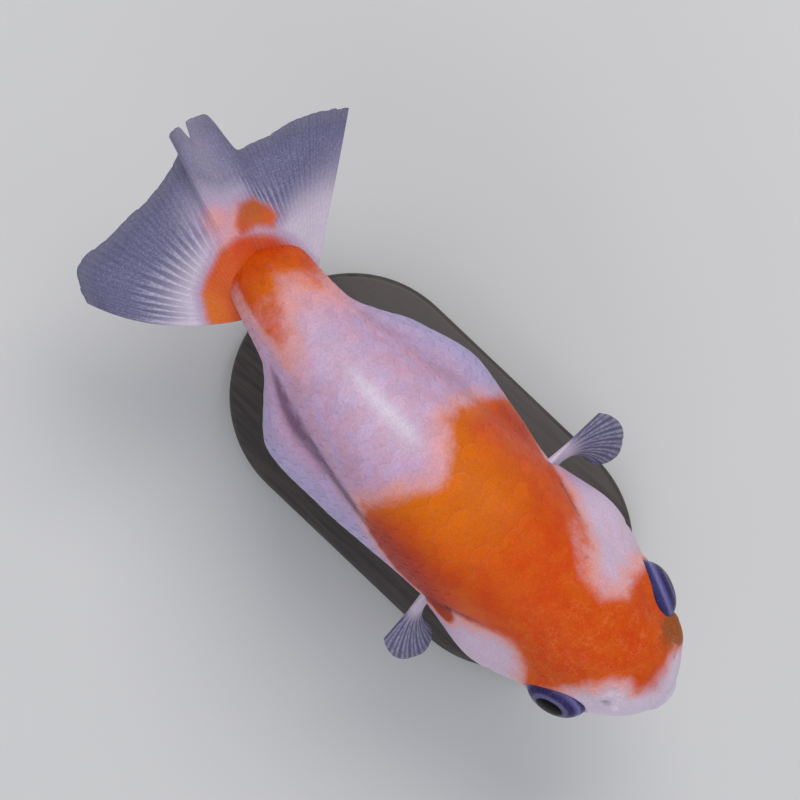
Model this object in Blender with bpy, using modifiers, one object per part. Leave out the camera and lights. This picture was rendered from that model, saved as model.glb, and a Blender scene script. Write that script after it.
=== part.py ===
"""A ranchu goldfish about 98 mm long, as a still life-size model on a plain display stand.

The fish lies level and faces -Y, with its left side at +X. Its body is a loft of two lobes, the back
above and the gill covers and belly below, along a spine that bends to the left towards the tail.
Sizes are in millimetres, and become metres where a mesh is made.
"""

import math

import bmesh
import bpy
import numpy as np
from mathutils import Matrix, Vector

MM = 0.001
CUT = 0.3  # width of the thin cut between two pieces that meet
FLOOR_TO_SNOUT = 44.0  # height of the snout's tip, the level that the heights below are counted from

# Body. One row for each section: distance behind the snout, half-width of the lower lobe, half-width
# of the back, top, bottom, and the lower lobe's half-height as a share of the section's height.
BODY_LENGTH = 83.0
SECTIONS = (
    (0.0, 7.9, 7.6, 7.4, -5.8, 0.50),  # snout
    (9.0, 8.8, 8.6, 12.0, -9.4, 0.46),  # eyes
    (14.5, 11.5, 10.0, 14.2, -12.2, 0.42),  # cheeks
    (23.5, 14.2, 10.3, 16.8, -16.2, 0.40),  # gill covers
    (33.5, 12.6, 12.0, 18.2, -18.4, 0.40),  # shoulders
    (42.0, 13.6, 11.6, 18.4, -19.4, 0.39),  # front of the belly
    (51.0, 14.6, 10.5, 17.2, -19.2, 0.38),  # belly
    (60.0, 13.3, 8.8, 14.2, -16.4, 0.39),  # vent
    (65.5, 9.5, 7.6, 11.4, -12.2, 0.42),  # end of the belly
    (69.0, 6.9, 6.9, 9.5, -9.8, 0.47),  # tail stem
    (76.0, 5.8, 5.8, 5.0, -8.8, 0.50),  # tail stem's narrowest place
    (83.0, 5.0, 5.0, -2.5, -9.0, 0.50),  # tail root
)
SPINE_HEADING = ((0, 0), (34, 0), (44, 4), (56, 5), (66, 8), (74, 12), (83, 16))  # degrees to the left
# How far the belly lies to the left of the spine, by distance behind the snout.
BELLY_SWING = ((0, 0), (32, 0), (40, 0.5), (50, 0.5), (61, -1.1), (69, -0.2), (83, 0))
BACK_FULLNESS = 2.3  # 2 makes the back lobe an ellipse, and more makes it squarer
SNOUT_ROUNDING, TAIL_ROUNDING = 9.0, 5.0  # lengths over which the body closes at its two ends
LOBE_BLEND = 0.35  # how softly the two lobes run into each other
END_CROWDING = 0.4  # 0 spaces the rings evenly, and more crowds them towards the body's ends
BODY_RINGS, BODY_SIDES = 38, 36

# Cuts across the body, and the pieces set into the head.
HEAD_END, TRUNK_END = 32.3, 67.0
EYE_STATION, EYE_UP = 11.4, 2.4
EYES = {"left": (1, 8.9, 24), "right": (-1, 9.3, 12)}  # side, distance out, degrees that it looks forward
EYE_RADII = (2.7, 4.5, 4.3)  # along its line of sight, fore and aft, and up
GILL_STATION, GILL_OUT, GILL_UP = 22.7, 14.0, -4.6
GILL_RADII = (6.0, 9.2, 9.8)  # across, along and up
JAW_STATION, JAW_UP = 3.4, -4.4
JAW_RADII = (4.2, 5.6, 3.6)

# Fins. A guide ray is (station, degrees round from the back, first sweep, last sweep, rise, length):
# where it leaves the body, then degrees out from straight back at its root and its tip, degrees above
# level, and its length.
FIN_THICKNESS, FIN_ROOT_THICKNESS = 0.55, 1.6
FIN_ROOT_FLESH = 0.35  # share of a fin's length over which its fleshy root thins out
FIN_ROOT_DEPTH = 1.6  # how far a fin is drawn into the body before the body is cut from it
PECTORAL_STALKS = {"left": 4.8, "right": 3.9}  # length of the bundle in which its rays leave the body
PECTORAL_RAYS = (
    (32.9, 99, 92, 92, -8, 4.2),
    (32.7, 103, 92, 125, -14, 6.4),
    (32.5, 107, 92, 152, -20, 6.6),
    (32.3, 111, 92, 180, -26, 5.4),
    (32.1, 114, 92, 200, -30, 2.9),
)
RIGHT_PECTORAL_DROP = 12  # degrees that the right one hangs lower
PELVIC_RAYS = (
    (40.0, 146, 24, 16, -22, 12.2),
    (42.0, 150, 18, 12, -28, 12.0),
    (44.0, 154, 6, 4, -36, 8.0),
)
ANAL_RAYS = (
    (63.5, 148, -2, -4, -44, 9.0),
    (66.0, 150, -2, -4, -36, 9.0),
    (68.5, 152, -2, -4, -28, 7.0),
)
TAIL_LEFT_RAYS = (
    (75.2, 104, 46, 44, -8, 22.0),
    (76.4, 98, 40, 37, -4, 20.2),
    (77.6, 88, 30, 26, 2, 17.8),
    (79.0, 74, 18, 15, 8, 15.2),
    (80.2, 56, 6, 3, 14, 14.2),
)
TAIL_CREST_RAYS = (
    (80.2, 56, 6, 3, 14, 14.2),
    (81.0, 34, 5, 5, 22, 20.6),
    (81.6, 0, 3, 3, 28, 21.2),
    (81.0, -34, 3, 3, 24, 20.9),
    (80.2, -56, 8, 9, 14, 18.2),
)
TAIL_RIGHT_RAYS = (
    (80.2, -56, 8, 9, 14, 18.2),
    (79.0, -74, -12, -2, 8, 16.3),
    (77.6, -88, -36, -18, 2, 18.5),
    (76.2, -98, -56, -31, -4, 22.9),
    (74.8, -104, -70, -29, -8, 22.9),
)
TAIL_SEAM = 0.35  # distance of a tail piece's edge from the line where it meets the next one
TAIL_COLUMNS, TAIL_ROWS = 12, 7

# Stand.
STAND_STATION = 43.0
BASE_LENGTH, BASE_WIDTH, BASE_HEIGHT, BASE_EDGE = 66.0, 35.0, 5.0, 0.8
BASE_END_STEPS = 16  # straight stretches in each of its half-round ends
CORNER_ANGLE = 60  # degrees; the walls' own small corners are under this, and aren't bevelled
ROD_STATIONS = {"front": 33.0, "rear": 53.0}
ROD_RADIUS, ROD_SIDES = 1.5, 20

COLOURS = {
    "orange": (0.68, 0.15, 0.02),
    "white": (0.68, 0.45, 0.52),
    "lip": (0.72, 0.66, 0.74),
    "fin": (0.36, 0.36, 0.52),
    "eye": (0.03, 0.025, 0.06),
    "base": (0.55, 0.55, 0.54),
    "rod": (0.45, 0.45, 0.46),
}


def clear_scene():
    for obj in list(bpy.data.objects):
        bpy.data.objects.remove(obj, do_unlink=True)


def new_collection(name):
    collection = bpy.data.collections.new(name)
    bpy.context.scene.collection.children.link(collection)
    return collection


def new_material(name, colour, roughness=0.4, metallic=0.0):
    material = bpy.data.materials.new(name)
    material.use_nodes = True
    shader = material.node_tree.nodes["Principled BSDF"]
    shader.inputs["Base Color"].default_value = (*colour, 1.0)
    shader.inputs["Roughness"].default_value = roughness
    shader.inputs["Metallic"].default_value = metallic
    return material


def monotone_curve(x, y, at):
    """Reads y at the given places on a smooth curve through the points (x, y) that has no overshoot."""
    x, y = np.asarray(x, float), np.asarray(y, float)
    step = np.diff(x)
    rise = np.diff(y) / step
    slope = np.concatenate(([rise[0]], np.zeros(len(x) - 2), [rise[-1]]))
    for i in range(1, len(x) - 1):
        if rise[i - 1] * rise[i] > 0:
            before, after = 2 * step[i] + step[i - 1], step[i] + 2 * step[i - 1]
            slope[i] = (before + after) / (before / rise[i - 1] + after / rise[i])
    i = np.clip(np.searchsorted(x, at) - 1, 0, len(step) - 1)
    t = (at - x[i]) / step[i]
    start = y[i] * (1 + 2 * t) + slope[i] * step[i] * t
    end = y[i + 1] * (3 - 2 * t) - slope[i + 1] * step[i] * (1 - t)
    return start * (1 - t) ** 2 + end * t**2


def section_value(station, column):
    table = np.array(SECTIONS)
    return monotone_curve(table[:, 0], table[:, column], station)


def spine_heading(station):
    stations, headings = zip(*SPINE_HEADING)
    return np.radians(monotone_curve(stations, headings, station))


def spine_point(station):
    """(x, y) of the spine, seen from above, at a distance behind the snout."""
    steps = np.linspace(0.0, BODY_LENGTH, 400)
    heading = spine_heading(steps)
    stride = steps[1] - steps[0]
    x = np.concatenate(([0.0], np.cumsum(np.sin(heading[:-1])) * stride))
    y = np.concatenate(([0.0], np.cumsum(np.cos(heading[:-1])) * stride))
    return np.interp(station, steps, x), np.interp(station, steps, y)


def closing(station):
    """Share of its full size that a section has near the body's two rounded ends."""
    to_snout = np.clip(station / SNOUT_ROUNDING, 0.0, 1.0)
    to_tail = np.clip((BODY_LENGTH - station) / TAIL_ROUNDING, 0.0, 1.0)
    return np.sqrt(1 - (1 - to_snout) ** 2) * np.sqrt(1 - (1 - to_tail) ** 2)


def ellipse_reach(across, up, half_width, half_height, swing, drop):
    """Distance along (across, up) to an ellipse whose centre is moved to the side and down."""
    a = (across / half_width) ** 2 + (up / half_height) ** 2
    b = up * drop / half_height**2 - across * swing / half_width**2
    c = (drop / half_height) ** 2 + (swing / half_width) ** 2 - 1
    return (-b + np.sqrt(b * b - a * c)) / a


def body_point(station, angle):
    """Points of the body's surface at distances behind the snout and angles round from the back."""
    station, angle = np.broadcast_arrays(np.asarray(station, float), np.asarray(angle, float))
    size = np.maximum(closing(station), 1e-4)
    side, back, top, bottom, lobe = (section_value(station, column) for column in range(1, 6))
    middle, half_height = (top + bottom) / 2, (top - bottom) / 2 * size
    across, up = np.sin(angle), np.cos(angle)
    power = BACK_FULLNESS
    upper = (np.abs(across / back / size) ** power + np.abs(up / half_height) ** power) ** (-1 / power)
    lower_half = 2 * lobe * half_height
    swing = monotone_curve(*zip(*BELLY_SWING), station)
    lower = ellipse_reach(across, up, side * size, lower_half, swing, half_height - lower_half)
    blend = 2 * LOBE_BLEND * size
    reach = (upper + lower + np.sqrt((upper - lower) ** 2 + blend**2)) / 2
    out, height = reach * across, middle + reach * up
    x, y = spine_point(station)
    heading = spine_heading(station)
    return np.stack((x + out * np.cos(heading), y - out * np.sin(heading), height), axis=-1)


def placed(station, out, up):
    """A point beside the spine, in metres."""
    x, y = spine_point(station)
    heading = spine_heading(station)
    return Vector((x + out * math.cos(heading), y - out * math.sin(heading), up)) * MM


def new_object(name, mesh, collection, parent, material=None, smooth=True):
    obj = bpy.data.objects.new(name, mesh)
    collection.objects.link(obj)
    obj.parent = parent
    if material:
        mesh.materials.clear()
        mesh.materials.append(material)
    if smooth:
        mesh.shade_smooth()
    if material is None:
        obj.hide_render = True
        obj.display_type = "WIRE"
    return obj


def mesh_from(bm, name):
    bmesh.ops.recalc_face_normals(bm, faces=bm.faces)
    mesh = bpy.data.meshes.new(name)
    bm.to_mesh(mesh)
    bm.free()
    return mesh


def body_mesh(name, grow=0.0):
    """The whole body, from a sphere whose rings are moved to the body's sections, grown along its normals."""
    bm = bmesh.new()
    bmesh.ops.create_uvsphere(bm, u_segments=BODY_SIDES, v_segments=BODY_RINGS, radius=1.0)
    for vert in bm.verts:
        share = math.acos(max(-1.0, min(1.0, vert.co.z))) / math.pi
        crowded = (1 - math.cos(math.pi * share)) / 2
        station = BODY_LENGTH * (share + (crowded - share) * END_CROWDING)
        angle = math.atan2(vert.co.x, vert.co.y)
        vert.co = Vector(body_point(station, angle)) * MM
    bmesh.ops.recalc_face_normals(bm, faces=bm.faces)
    bm.normal_update()
    for vert in bm.verts:
        vert.co += vert.normal * grow * MM
    return mesh_from(bm, name)


def ellipsoid_mesh(name, centre, radii, grow=0.0, turn=0.0):
    """An ellipsoid, grown all round, and turned by degrees about the upright through its centre."""
    bm = bmesh.new()
    bmesh.ops.create_uvsphere(bm, u_segments=20, v_segments=11, radius=1.0)
    size = Matrix.Diagonal([(radius + grow) * MM for radius in radii]).to_4x4()
    turned = Matrix.Rotation(math.radians(turn), 4, "Z")
    bmesh.ops.transform(bm, matrix=Matrix.Translation(centre) @ turned @ size, verts=bm.verts)
    return mesh_from(bm, name)


def slab_mesh(name, start, end, reach=40.0):
    """A block across the body between two distances behind the snout, and wider than the body."""
    bm = bmesh.new()
    bmesh.ops.create_cube(bm, size=1.0)
    for vert in bm.verts:
        station = start if vert.co.y < 0 else end
        inside = min(max(station, 0.0), BODY_LENGTH)
        beyond = (station - inside) * MM
        across, up = vert.co.x * 2 * reach, vert.co.z * 2 * reach
        vert.co = placed(inside, across, up) + Vector((0.0, beyond, 0.0))
    return mesh_from(bm, name)


def direction(heading, sweep, rise):
    """Unit vector that leaves straight back by sweep degrees to the left and by rise degrees upwards."""
    turn, lift = heading + math.radians(sweep), math.radians(rise)
    return np.array((math.sin(turn) * math.cos(lift), math.cos(turn) * math.cos(lift), math.sin(lift)))


def fin_point(rays, side, across, along, stalk=0.0, drop=0.0):
    """A point of a fin's middle surface. Across runs over its guide rays, and along from root to edge."""
    table = np.array(rays, float)
    place = np.linspace(0.0, 1.0, len(table))
    station, angle, leave, sweep, rise, length = (
        float(monotone_curve(place, table[:, column], across)) for column in range(6)
    )
    heading = float(spine_heading(station))
    start = direction(heading, side * leave, rise - drop)
    root = body_point(station, side * math.radians(angle)) - start * FIN_ROOT_DEPTH
    knee = root + start * (FIN_ROOT_DEPTH + (stalk or length / 2))
    tip = knee + direction(heading, side * sweep, rise - drop) * (length if stalk else length / 2)
    return root * (1 - along) ** 2 + knee * 2 * along * (1 - along) + tip * along**2


def fin_mesh(name, rays, side=1, columns=10, rows=6, seams=(False, False), **bend):
    """A fin's middle surface, from a grid. An edge with a seam is drawn in from its neighbour's."""
    bm = bmesh.new()
    bmesh.ops.create_grid(bm, x_segments=columns, y_segments=rows, size=0.5)
    thickness = bm.verts.layers.deform.verify()
    for vert in bm.verts:
        across, along = vert.co.x + 0.5, vert.co.y + 0.5
        flesh = max(0.0, 1 - along / FIN_ROOT_FLESH) ** 2
        thin_share = FIN_THICKNESS / FIN_ROOT_THICKNESS
        vert[thickness][0] = thin_share + (1 - thin_share) * flesh
        point = fin_point(rays, side, across, along, **bend)
        for seam, edge, inward in zip(seams, (0.0, 1.0), (0.05, -0.05)):
            if seam and abs(across - edge) < 1e-6:
                step = fin_point(rays, side, edge + inward, along, **bend) - point
                point = point + step / np.linalg.norm(step) * TAIL_SEAM
        vert.co = Vector(point) * MM
    return mesh_from(bm, name)


def add_boolean(obj, cutter, operation="DIFFERENCE"):
    modifier = obj.modifiers.new(f"{operation.lower()} {cutter.name}", "BOOLEAN")
    modifier.operation = operation
    modifier.object = cutter
    modifier.solver = "EXACT"


def make_body(parts, cutters, parent, materials):
    """Head, lower jaw, gill covers, trunk and tail stem, cut from one body, with the eyes set in."""
    before, behind = -10.0, BODY_LENGTH + 10.0
    head_slab = slab_mesh("cut_head", before, HEAD_END)
    trunk_slab = slab_mesh("cut_trunk", HEAD_END + CUT, TRUNK_END)
    stem_slab = slab_mesh("cut_stem", TRUNK_END + CUT, behind)
    head_slab, trunk_slab, stem_slab = (
        new_object(slab.name, slab, cutters, parent) for slab in (head_slab, trunk_slab, stem_slab)
    )
    jaw_centre = placed(JAW_STATION, 0.0, JAW_UP)
    jaw_shape = new_object("cut_jaw", ellipsoid_mesh("cut_jaw", jaw_centre, JAW_RADII), cutters, parent)
    jaw_room = new_object(
        "room_for_jaw", ellipsoid_mesh("room_for_jaw", jaw_centre, JAW_RADII, CUT), cutters, parent
    )

    head = new_object("head", body_mesh("head"), parts, parent, materials["orange"])
    add_boolean(head, head_slab, "INTERSECT")
    jaw = new_object("lower_jaw", body_mesh("lower_jaw"), parts, parent, materials["lip"])
    add_boolean(jaw, jaw_shape, "INTERSECT")
    add_boolean(head, jaw_room)
    for side_name, (side, eye_out, forward) in EYES.items():
        eye_centre = placed(EYE_STATION, side * eye_out, EYE_UP)
        turn = -side * forward
        eye = ellipsoid_mesh(f"eye_{side_name}", eye_centre, EYE_RADII, turn=turn)
        new_object(eye.name, eye, parts, parent, materials["eye"])
        eye_room = ellipsoid_mesh(f"room_for_eye_{side_name}", eye_centre, EYE_RADII, CUT, turn)
        eye_room = new_object(eye_room.name, eye_room, cutters, parent)
        gill_centre = placed(GILL_STATION, side * GILL_OUT, GILL_UP)
        gill_shape = ellipsoid_mesh(f"cut_gill_{side_name}", gill_centre, GILL_RADII)
        gill_shape = new_object(gill_shape.name, gill_shape, cutters, parent)
        gill_room = ellipsoid_mesh(f"room_for_gill_{side_name}", gill_centre, GILL_RADII, CUT)
        gill_room = new_object(gill_room.name, gill_room, cutters, parent)
        cover_name = f"gill_cover_{side_name}"
        cover = new_object(cover_name, body_mesh(cover_name), parts, parent, materials["white"])
        add_boolean(cover, gill_shape, "INTERSECT")
        add_boolean(cover, eye_room)
        add_boolean(head, eye_room)
        add_boolean(head, gill_room)

    trunk = new_object("trunk", body_mesh("trunk"), parts, parent, materials["white"])
    add_boolean(trunk, trunk_slab, "INTERSECT")
    stem = new_object("tail_stem", body_mesh("tail_stem"), parts, parent, materials["orange"])
    add_boolean(stem, stem_slab, "INTERSECT")


def make_fin(name, mesh, parts, parent, material, clearance):
    fin = new_object(name, mesh, parts, parent, material)
    fin.vertex_groups.new(name="thickness")
    wall = fin.modifiers.new("membrane", "SOLIDIFY")
    wall.thickness = FIN_ROOT_THICKNESS * MM
    wall.vertex_group = "thickness"
    wall.offset = 0.0
    wall.use_even_offset = False
    add_boolean(fin, clearance)


def make_fins(parts, parent, material, clearance):
    for side_name, side in (("left", 1), ("right", -1)):
        drop = RIGHT_PECTORAL_DROP if side < 0 else 0.0
        stalked = {"stalk": PECTORAL_STALKS[side_name], "drop": drop}
        paired = (
            ("pectoral_fin", PECTORAL_RAYS, 10, stalked),
            ("pelvic_fin", PELVIC_RAYS, 7, {}),
            ("anal_fin", ANAL_RAYS, 6, {}),
        )
        for kind, rays, columns, bend in paired:
            name = f"{kind}_{side_name}"
            mesh = fin_mesh(name, rays, side, columns, **bend)
            make_fin(name, mesh, parts, parent, material, clearance)
    tail = (
        ("tail_lobe_left", TAIL_LEFT_RAYS, (False, True)),
        ("tail_crest", TAIL_CREST_RAYS, (True, True)),
        ("tail_lobe_right", TAIL_RIGHT_RAYS, (True, False)),
    )
    for name, rays, seams in tail:
        mesh = fin_mesh(name, rays, columns=TAIL_COLUMNS, rows=TAIL_ROWS, seams=seams)
        make_fin(name, mesh, parts, parent, material, clearance)


def make_stand(parts, parent, materials, clearance):
    """A flat base with round ends, and two rods that reach the belly."""
    floor = -FLOOR_TO_SNOUT * MM
    centre = placed(STAND_STATION, 0.0, 0.0)
    curve = bpy.data.curves.new("stand_base", "CURVE")
    curve.dimensions = "2D"
    curve.fill_mode = "BOTH"
    curve.extrude = BASE_HEIGHT / 2 * MM
    outline = curve.splines.new("POLY")
    reach, radius = (BASE_LENGTH - BASE_WIDTH) / 2, BASE_WIDTH / 2
    turns = [math.pi * i / BASE_END_STEPS for i in range(BASE_END_STEPS + 1)]
    ends = [(radius * math.cos(a), reach + radius * math.sin(a)) for a in turns]
    points = ends + [(-x, -y) for x, y in ends]
    outline.points.add(len(points) - 1)
    for point, (x, y) in zip(outline.points, points):
        point.co = (x * MM, y * MM, 0.0, 1.0)
    outline.use_cyclic_u = True
    base = new_object("stand_base", curve, parts, parent, materials["base"], smooth=False)
    base.location = (centre.x, centre.y, floor + BASE_HEIGHT / 2 * MM)
    weld = base.modifiers.new("weld", "WELD")
    weld.merge_threshold = 0.00001
    edge = base.modifiers.new("edge", "BEVEL")
    edge.width = BASE_EDGE * MM
    edge.segments = 2
    edge.limit_method = "ANGLE"
    edge.angle_limit = math.radians(CORNER_ANGLE)

    for name, station in ROD_STATIONS.items():
        bottom, top = floor + (BASE_HEIGHT + CUT) * MM, 0.0
        bm = bmesh.new()
        bmesh.ops.create_cone(
            bm,
            cap_ends=True,
            segments=ROD_SIDES,
            radius1=ROD_RADIUS * MM,
            radius2=ROD_RADIUS * MM,
            depth=top - bottom,
        )
        rod = new_object(f"stand_rod_{name}", mesh_from(bm, "rod"), parts, parent, materials["rod"])
        place = placed(station, 0.0, 0.0)
        rod.location = (place.x, place.y, (bottom + top) / 2)
        add_boolean(rod, clearance)


def centre_on_floor(root, parts):
    """Moves everything so that the whole model's box has its bottom centre at the origin."""
    bpy.context.view_layer.update()
    graph = bpy.context.evaluated_depsgraph_get()
    corners = []
    for obj in parts.objects:
        if obj.type == "EMPTY":
            continue
        evaluated = obj.evaluated_get(graph)
        mesh = evaluated.to_mesh()
        corners += [evaluated.matrix_world @ vert.co for vert in mesh.vertices]
        evaluated.to_mesh_clear()
    corners = np.array(corners)
    low, high = corners.min(axis=0), corners.max(axis=0)
    root.location = (-(low[0] + high[0]) / 2, -(low[1] + high[1]) / 2, -low[2])


def main():
    clear_scene()
    parts = new_collection("goldfish")
    cutters = new_collection("cutters")
    root = bpy.data.objects.new("goldfish_origin", None)
    parts.objects.link(root)
    materials = {name: new_material(name, colour) for name, colour in COLOURS.items()}
    clearance = new_object("room_for_body", body_mesh("room_for_body", CUT), cutters, root)
    make_body(parts, cutters, root, materials)
    make_fins(parts, root, materials["fin"], clearance)
    make_stand(parts, root, materials, clearance)
    centre_on_floor(root, parts)


main()
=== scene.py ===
"""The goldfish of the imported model, dressed: one skin with scales on it, eyes, fins and its stand."""

import math
import random

import bmesh
import bpy
import numpy as np
from mathutils import Matrix, Vector, noise


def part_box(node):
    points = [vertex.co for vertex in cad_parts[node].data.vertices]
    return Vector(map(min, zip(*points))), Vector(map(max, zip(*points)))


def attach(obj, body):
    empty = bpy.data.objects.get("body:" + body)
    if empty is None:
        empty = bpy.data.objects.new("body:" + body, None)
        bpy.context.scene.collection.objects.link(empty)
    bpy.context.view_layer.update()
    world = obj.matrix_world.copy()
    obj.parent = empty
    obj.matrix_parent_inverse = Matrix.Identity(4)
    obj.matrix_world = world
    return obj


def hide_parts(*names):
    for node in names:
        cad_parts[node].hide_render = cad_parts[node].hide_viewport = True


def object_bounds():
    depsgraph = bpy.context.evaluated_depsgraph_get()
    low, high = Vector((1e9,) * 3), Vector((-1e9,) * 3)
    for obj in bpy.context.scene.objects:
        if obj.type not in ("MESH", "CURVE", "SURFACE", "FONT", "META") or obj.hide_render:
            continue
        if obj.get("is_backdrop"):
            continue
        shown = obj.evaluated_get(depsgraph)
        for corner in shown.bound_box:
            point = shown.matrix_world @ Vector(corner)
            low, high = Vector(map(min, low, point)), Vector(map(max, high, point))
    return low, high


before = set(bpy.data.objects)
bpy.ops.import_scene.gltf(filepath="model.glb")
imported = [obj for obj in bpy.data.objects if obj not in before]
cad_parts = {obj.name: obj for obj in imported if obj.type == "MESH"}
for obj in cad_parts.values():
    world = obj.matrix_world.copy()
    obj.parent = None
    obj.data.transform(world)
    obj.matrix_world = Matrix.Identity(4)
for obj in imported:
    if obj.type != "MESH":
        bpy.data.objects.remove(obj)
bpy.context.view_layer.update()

MM = 0.001

# --------------------------------------------------------------------------------
# Body form. The fish is muscle on a bent spine: a back lobe above, and a wider lobe of gill covers and
# belly below. Everything that lies on the body is placed by its distance behind the snout, its station,
# and the degrees round from the back, left being positive. These are the solids' own sizes, in mm.

EYE_STATION, EYE_UP = 11.4, 2.4
EYES = {"left": (1, 8.9, 24), "right": (-1, 9.3, 12)}  # side, distance out, degrees that it looks forward
EYE_RADII = (2.7, 4.5, 4.3)  # along its line of sight, fore and aft, and up
BODY_LENGTH = 83.0
SECTIONS = (  # station, half-width of the lower lobe, half-width of the back, top, bottom, lobe's share
    (0.0, 7.9, 7.6, 7.4, -5.8, 0.50),
    (9.0, 8.8, 8.6, 12.0, -9.4, 0.46),
    (14.5, 11.5, 10.0, 14.2, -12.2, 0.42),
    (23.5, 14.2, 10.3, 16.8, -16.2, 0.40),
    (33.5, 12.6, 12.0, 18.2, -18.4, 0.40),
    (42.0, 13.6, 11.6, 18.4, -19.4, 0.39),
    (51.0, 14.6, 10.5, 17.2, -19.2, 0.38),
    (60.0, 13.3, 8.8, 14.2, -16.4, 0.39),
    (65.5, 9.5, 7.6, 11.4, -12.2, 0.42),
    (69.0, 6.9, 6.9, 9.5, -9.8, 0.47),
    (76.0, 5.8, 5.8, 5.0, -8.8, 0.50),
    (83.0, 5.0, 5.0, -2.5, -9.0, 0.50),
)
SPINE_HEADING = ((0, 0), (34, 0), (44, 4), (56, 5), (66, 8), (74, 12), (83, 16))  # in degrees, to the left
BELLY_SWING = ((0, 0), (32, 0), (40, 0.5), (50, 0.5), (61, -1.1), (69, -0.2), (83, 0))  # to the left
BACK_FULLNESS = 2.3  # over 2 is fuller than an ellipse
SNOUT_ROUNDING, TAIL_ROUNDING = 9.0, 5.0  # lengths of the body's rounded ends
LOBE_BLEND = 0.35  # how softly the back runs into the lower lobe
SPINE_STEPS = 400
END_MARGIN, STEP_BACK, STEP_ROUND = 0.02, 0.015, 0.5  # small steps that find which way the surface faces

# The snout's tip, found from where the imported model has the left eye.
low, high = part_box("eye_left")
SNOUT_TIP = np.array((low + high) / 2) - np.array((EYES["left"][1], EYE_STATION, EYE_UP)) * MM


def monotone_curve(x, y, at):
    """Reads y at the given places on a smooth curve through the points (x, y) that has no overshoot."""
    x, y = np.asarray(x, float), np.asarray(y, float)
    step = np.diff(x)
    rise = np.diff(y) / step
    slope = np.concatenate(([rise[0]], np.zeros(len(x) - 2), [rise[-1]]))
    for i in range(1, len(x) - 1):
        if rise[i - 1] * rise[i] > 0:
            before, after = 2 * step[i] + step[i - 1], step[i] + 2 * step[i - 1]
            slope[i] = (before + after) / (before / rise[i - 1] + after / rise[i])
    at = np.clip(at, x[0], x[-1])
    i = np.clip(np.searchsorted(x, at) - 1, 0, len(step) - 1)
    t = (at - x[i]) / step[i]
    start = y[i] * (1 + 2 * t) + slope[i] * step[i] * t
    end = y[i + 1] * (3 - 2 * t) - slope[i + 1] * step[i] * (1 - t)
    return start * (1 - t) ** 2 + end * t**2


def table_curve(table, at):
    return monotone_curve(*zip(*table), at)


def spine_heading(station):
    return np.radians(table_curve(SPINE_HEADING, station))


def spine_point(station):
    """(x, y) of the spine, seen from above, at a distance behind the snout."""
    steps = np.linspace(0.0, BODY_LENGTH, SPINE_STEPS)
    heading = spine_heading(steps)
    stride = steps[1] - steps[0]
    x = np.concatenate(([0.0], np.cumsum(np.sin(heading[:-1])) * stride))
    y = np.concatenate(([0.0], np.cumsum(np.cos(heading[:-1])) * stride))
    return np.interp(station, steps, x), np.interp(station, steps, y)


def closing(station):
    """Share of its full size that a section has near the body's two rounded ends."""
    to_snout = np.clip(station / SNOUT_ROUNDING, 0.0, 1.0)
    to_tail = np.clip((BODY_LENGTH - station) / TAIL_ROUNDING, 0.0, 1.0)
    return np.sqrt(1 - (1 - to_snout) ** 2) * np.sqrt(1 - (1 - to_tail) ** 2)


def ellipse_reach(across, up, half_width, half_height, swing, drop):
    """Distance along (across, up) to an ellipse whose centre is moved to the side and down."""
    a = (across / half_width) ** 2 + (up / half_height) ** 2
    b = up * drop / half_height**2 - across * swing / half_width**2
    c = (drop / half_height) ** 2 + (swing / half_width) ** 2 - 1
    return (-b + np.sqrt(b * b - a * c)) / a


def body_point(station, degrees):
    """Points of the body's surface, in mm from the snout's tip: left, back and up."""
    station, degrees = np.broadcast_arrays(np.asarray(station, float), np.asarray(degrees, float))
    columns = np.array(SECTIONS).T
    side, back, top, bottom, lobe = (monotone_curve(columns[0], column, station) for column in columns[1:])
    size = np.maximum(closing(station), 1e-4)
    middle, half_height = (top + bottom) / 2, (top - bottom) / 2 * size
    across, up = np.sin(np.radians(degrees)), np.cos(np.radians(degrees))
    power = BACK_FULLNESS
    upper = (np.abs(across / back / size) ** power + np.abs(up / half_height) ** power) ** (-1 / power)
    lower_half = 2 * lobe * half_height
    swing = table_curve(BELLY_SWING, station)
    lower = ellipse_reach(across, up, side * size, lower_half, swing, half_height - lower_half)
    blend = 2 * LOBE_BLEND * size
    reach = (upper + lower + np.sqrt((upper - lower) ** 2 + blend**2)) / 2
    out, height = reach * across, middle + reach * up
    x, y = spine_point(station)
    heading = spine_heading(station)
    return np.stack((x + out * np.cos(heading), y - out * np.sin(heading), height), axis=-1)


def over_body(station, degrees, height):
    """Points at heights in mm over the body's surface, in metres in the model's frame."""
    inner = np.clip(station, END_MARGIN, BODY_LENGTH - END_MARGIN)
    backward = body_point(inner + STEP_BACK, degrees) - body_point(inner - STEP_BACK, degrees)
    leftward = body_point(inner, degrees + STEP_ROUND) - body_point(inner, degrees - STEP_ROUND)
    outward = np.cross(leftward, backward)
    outward /= np.linalg.norm(outward, axis=-1, keepdims=True)
    return SNOUT_TIP + (body_point(station, degrees) + outward * np.asarray(height)[..., None]) * MM


def rising(value, low, high):
    """0 below low, 1 above high, and a smooth rise between."""
    share = np.clip((value - low) / (high - low), 0.0, 1.0)
    return share * share * (3 - 2 * share)


def falling(value, low, high):
    """1 below low, 0 above high, and a smooth fall between."""
    return 1 - rising(value, low, high)


def band(value, low, full, ebb, high):
    """1 from full to ebb, 0 outside low and high, and smooth between."""
    return rising(value, low, full) * falling(value, ebb, high)


def hill(value, centre, width):
    """1 at the centre, falling away smoothly over about the width on each side."""
    return np.exp(-(((value - centre) / width) ** 2))


# --------------------------------------------------------------------------------
# Markings. Orange and white are pigment in the live skin, so skin, scales and fins all carry them from
# the one set of patches below. Each mesh keeps, at its points, how far they lie inside the orange and
# how golden, red, lilac, pale, shaded or rusty they are, and one node group turns that into colour.
# Part of the pale is a painted highlight along the back, and most of the shade is painted shade in the
# gill lines, the flank folds, the mouth, the eyes' rims and the nostrils.

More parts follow.
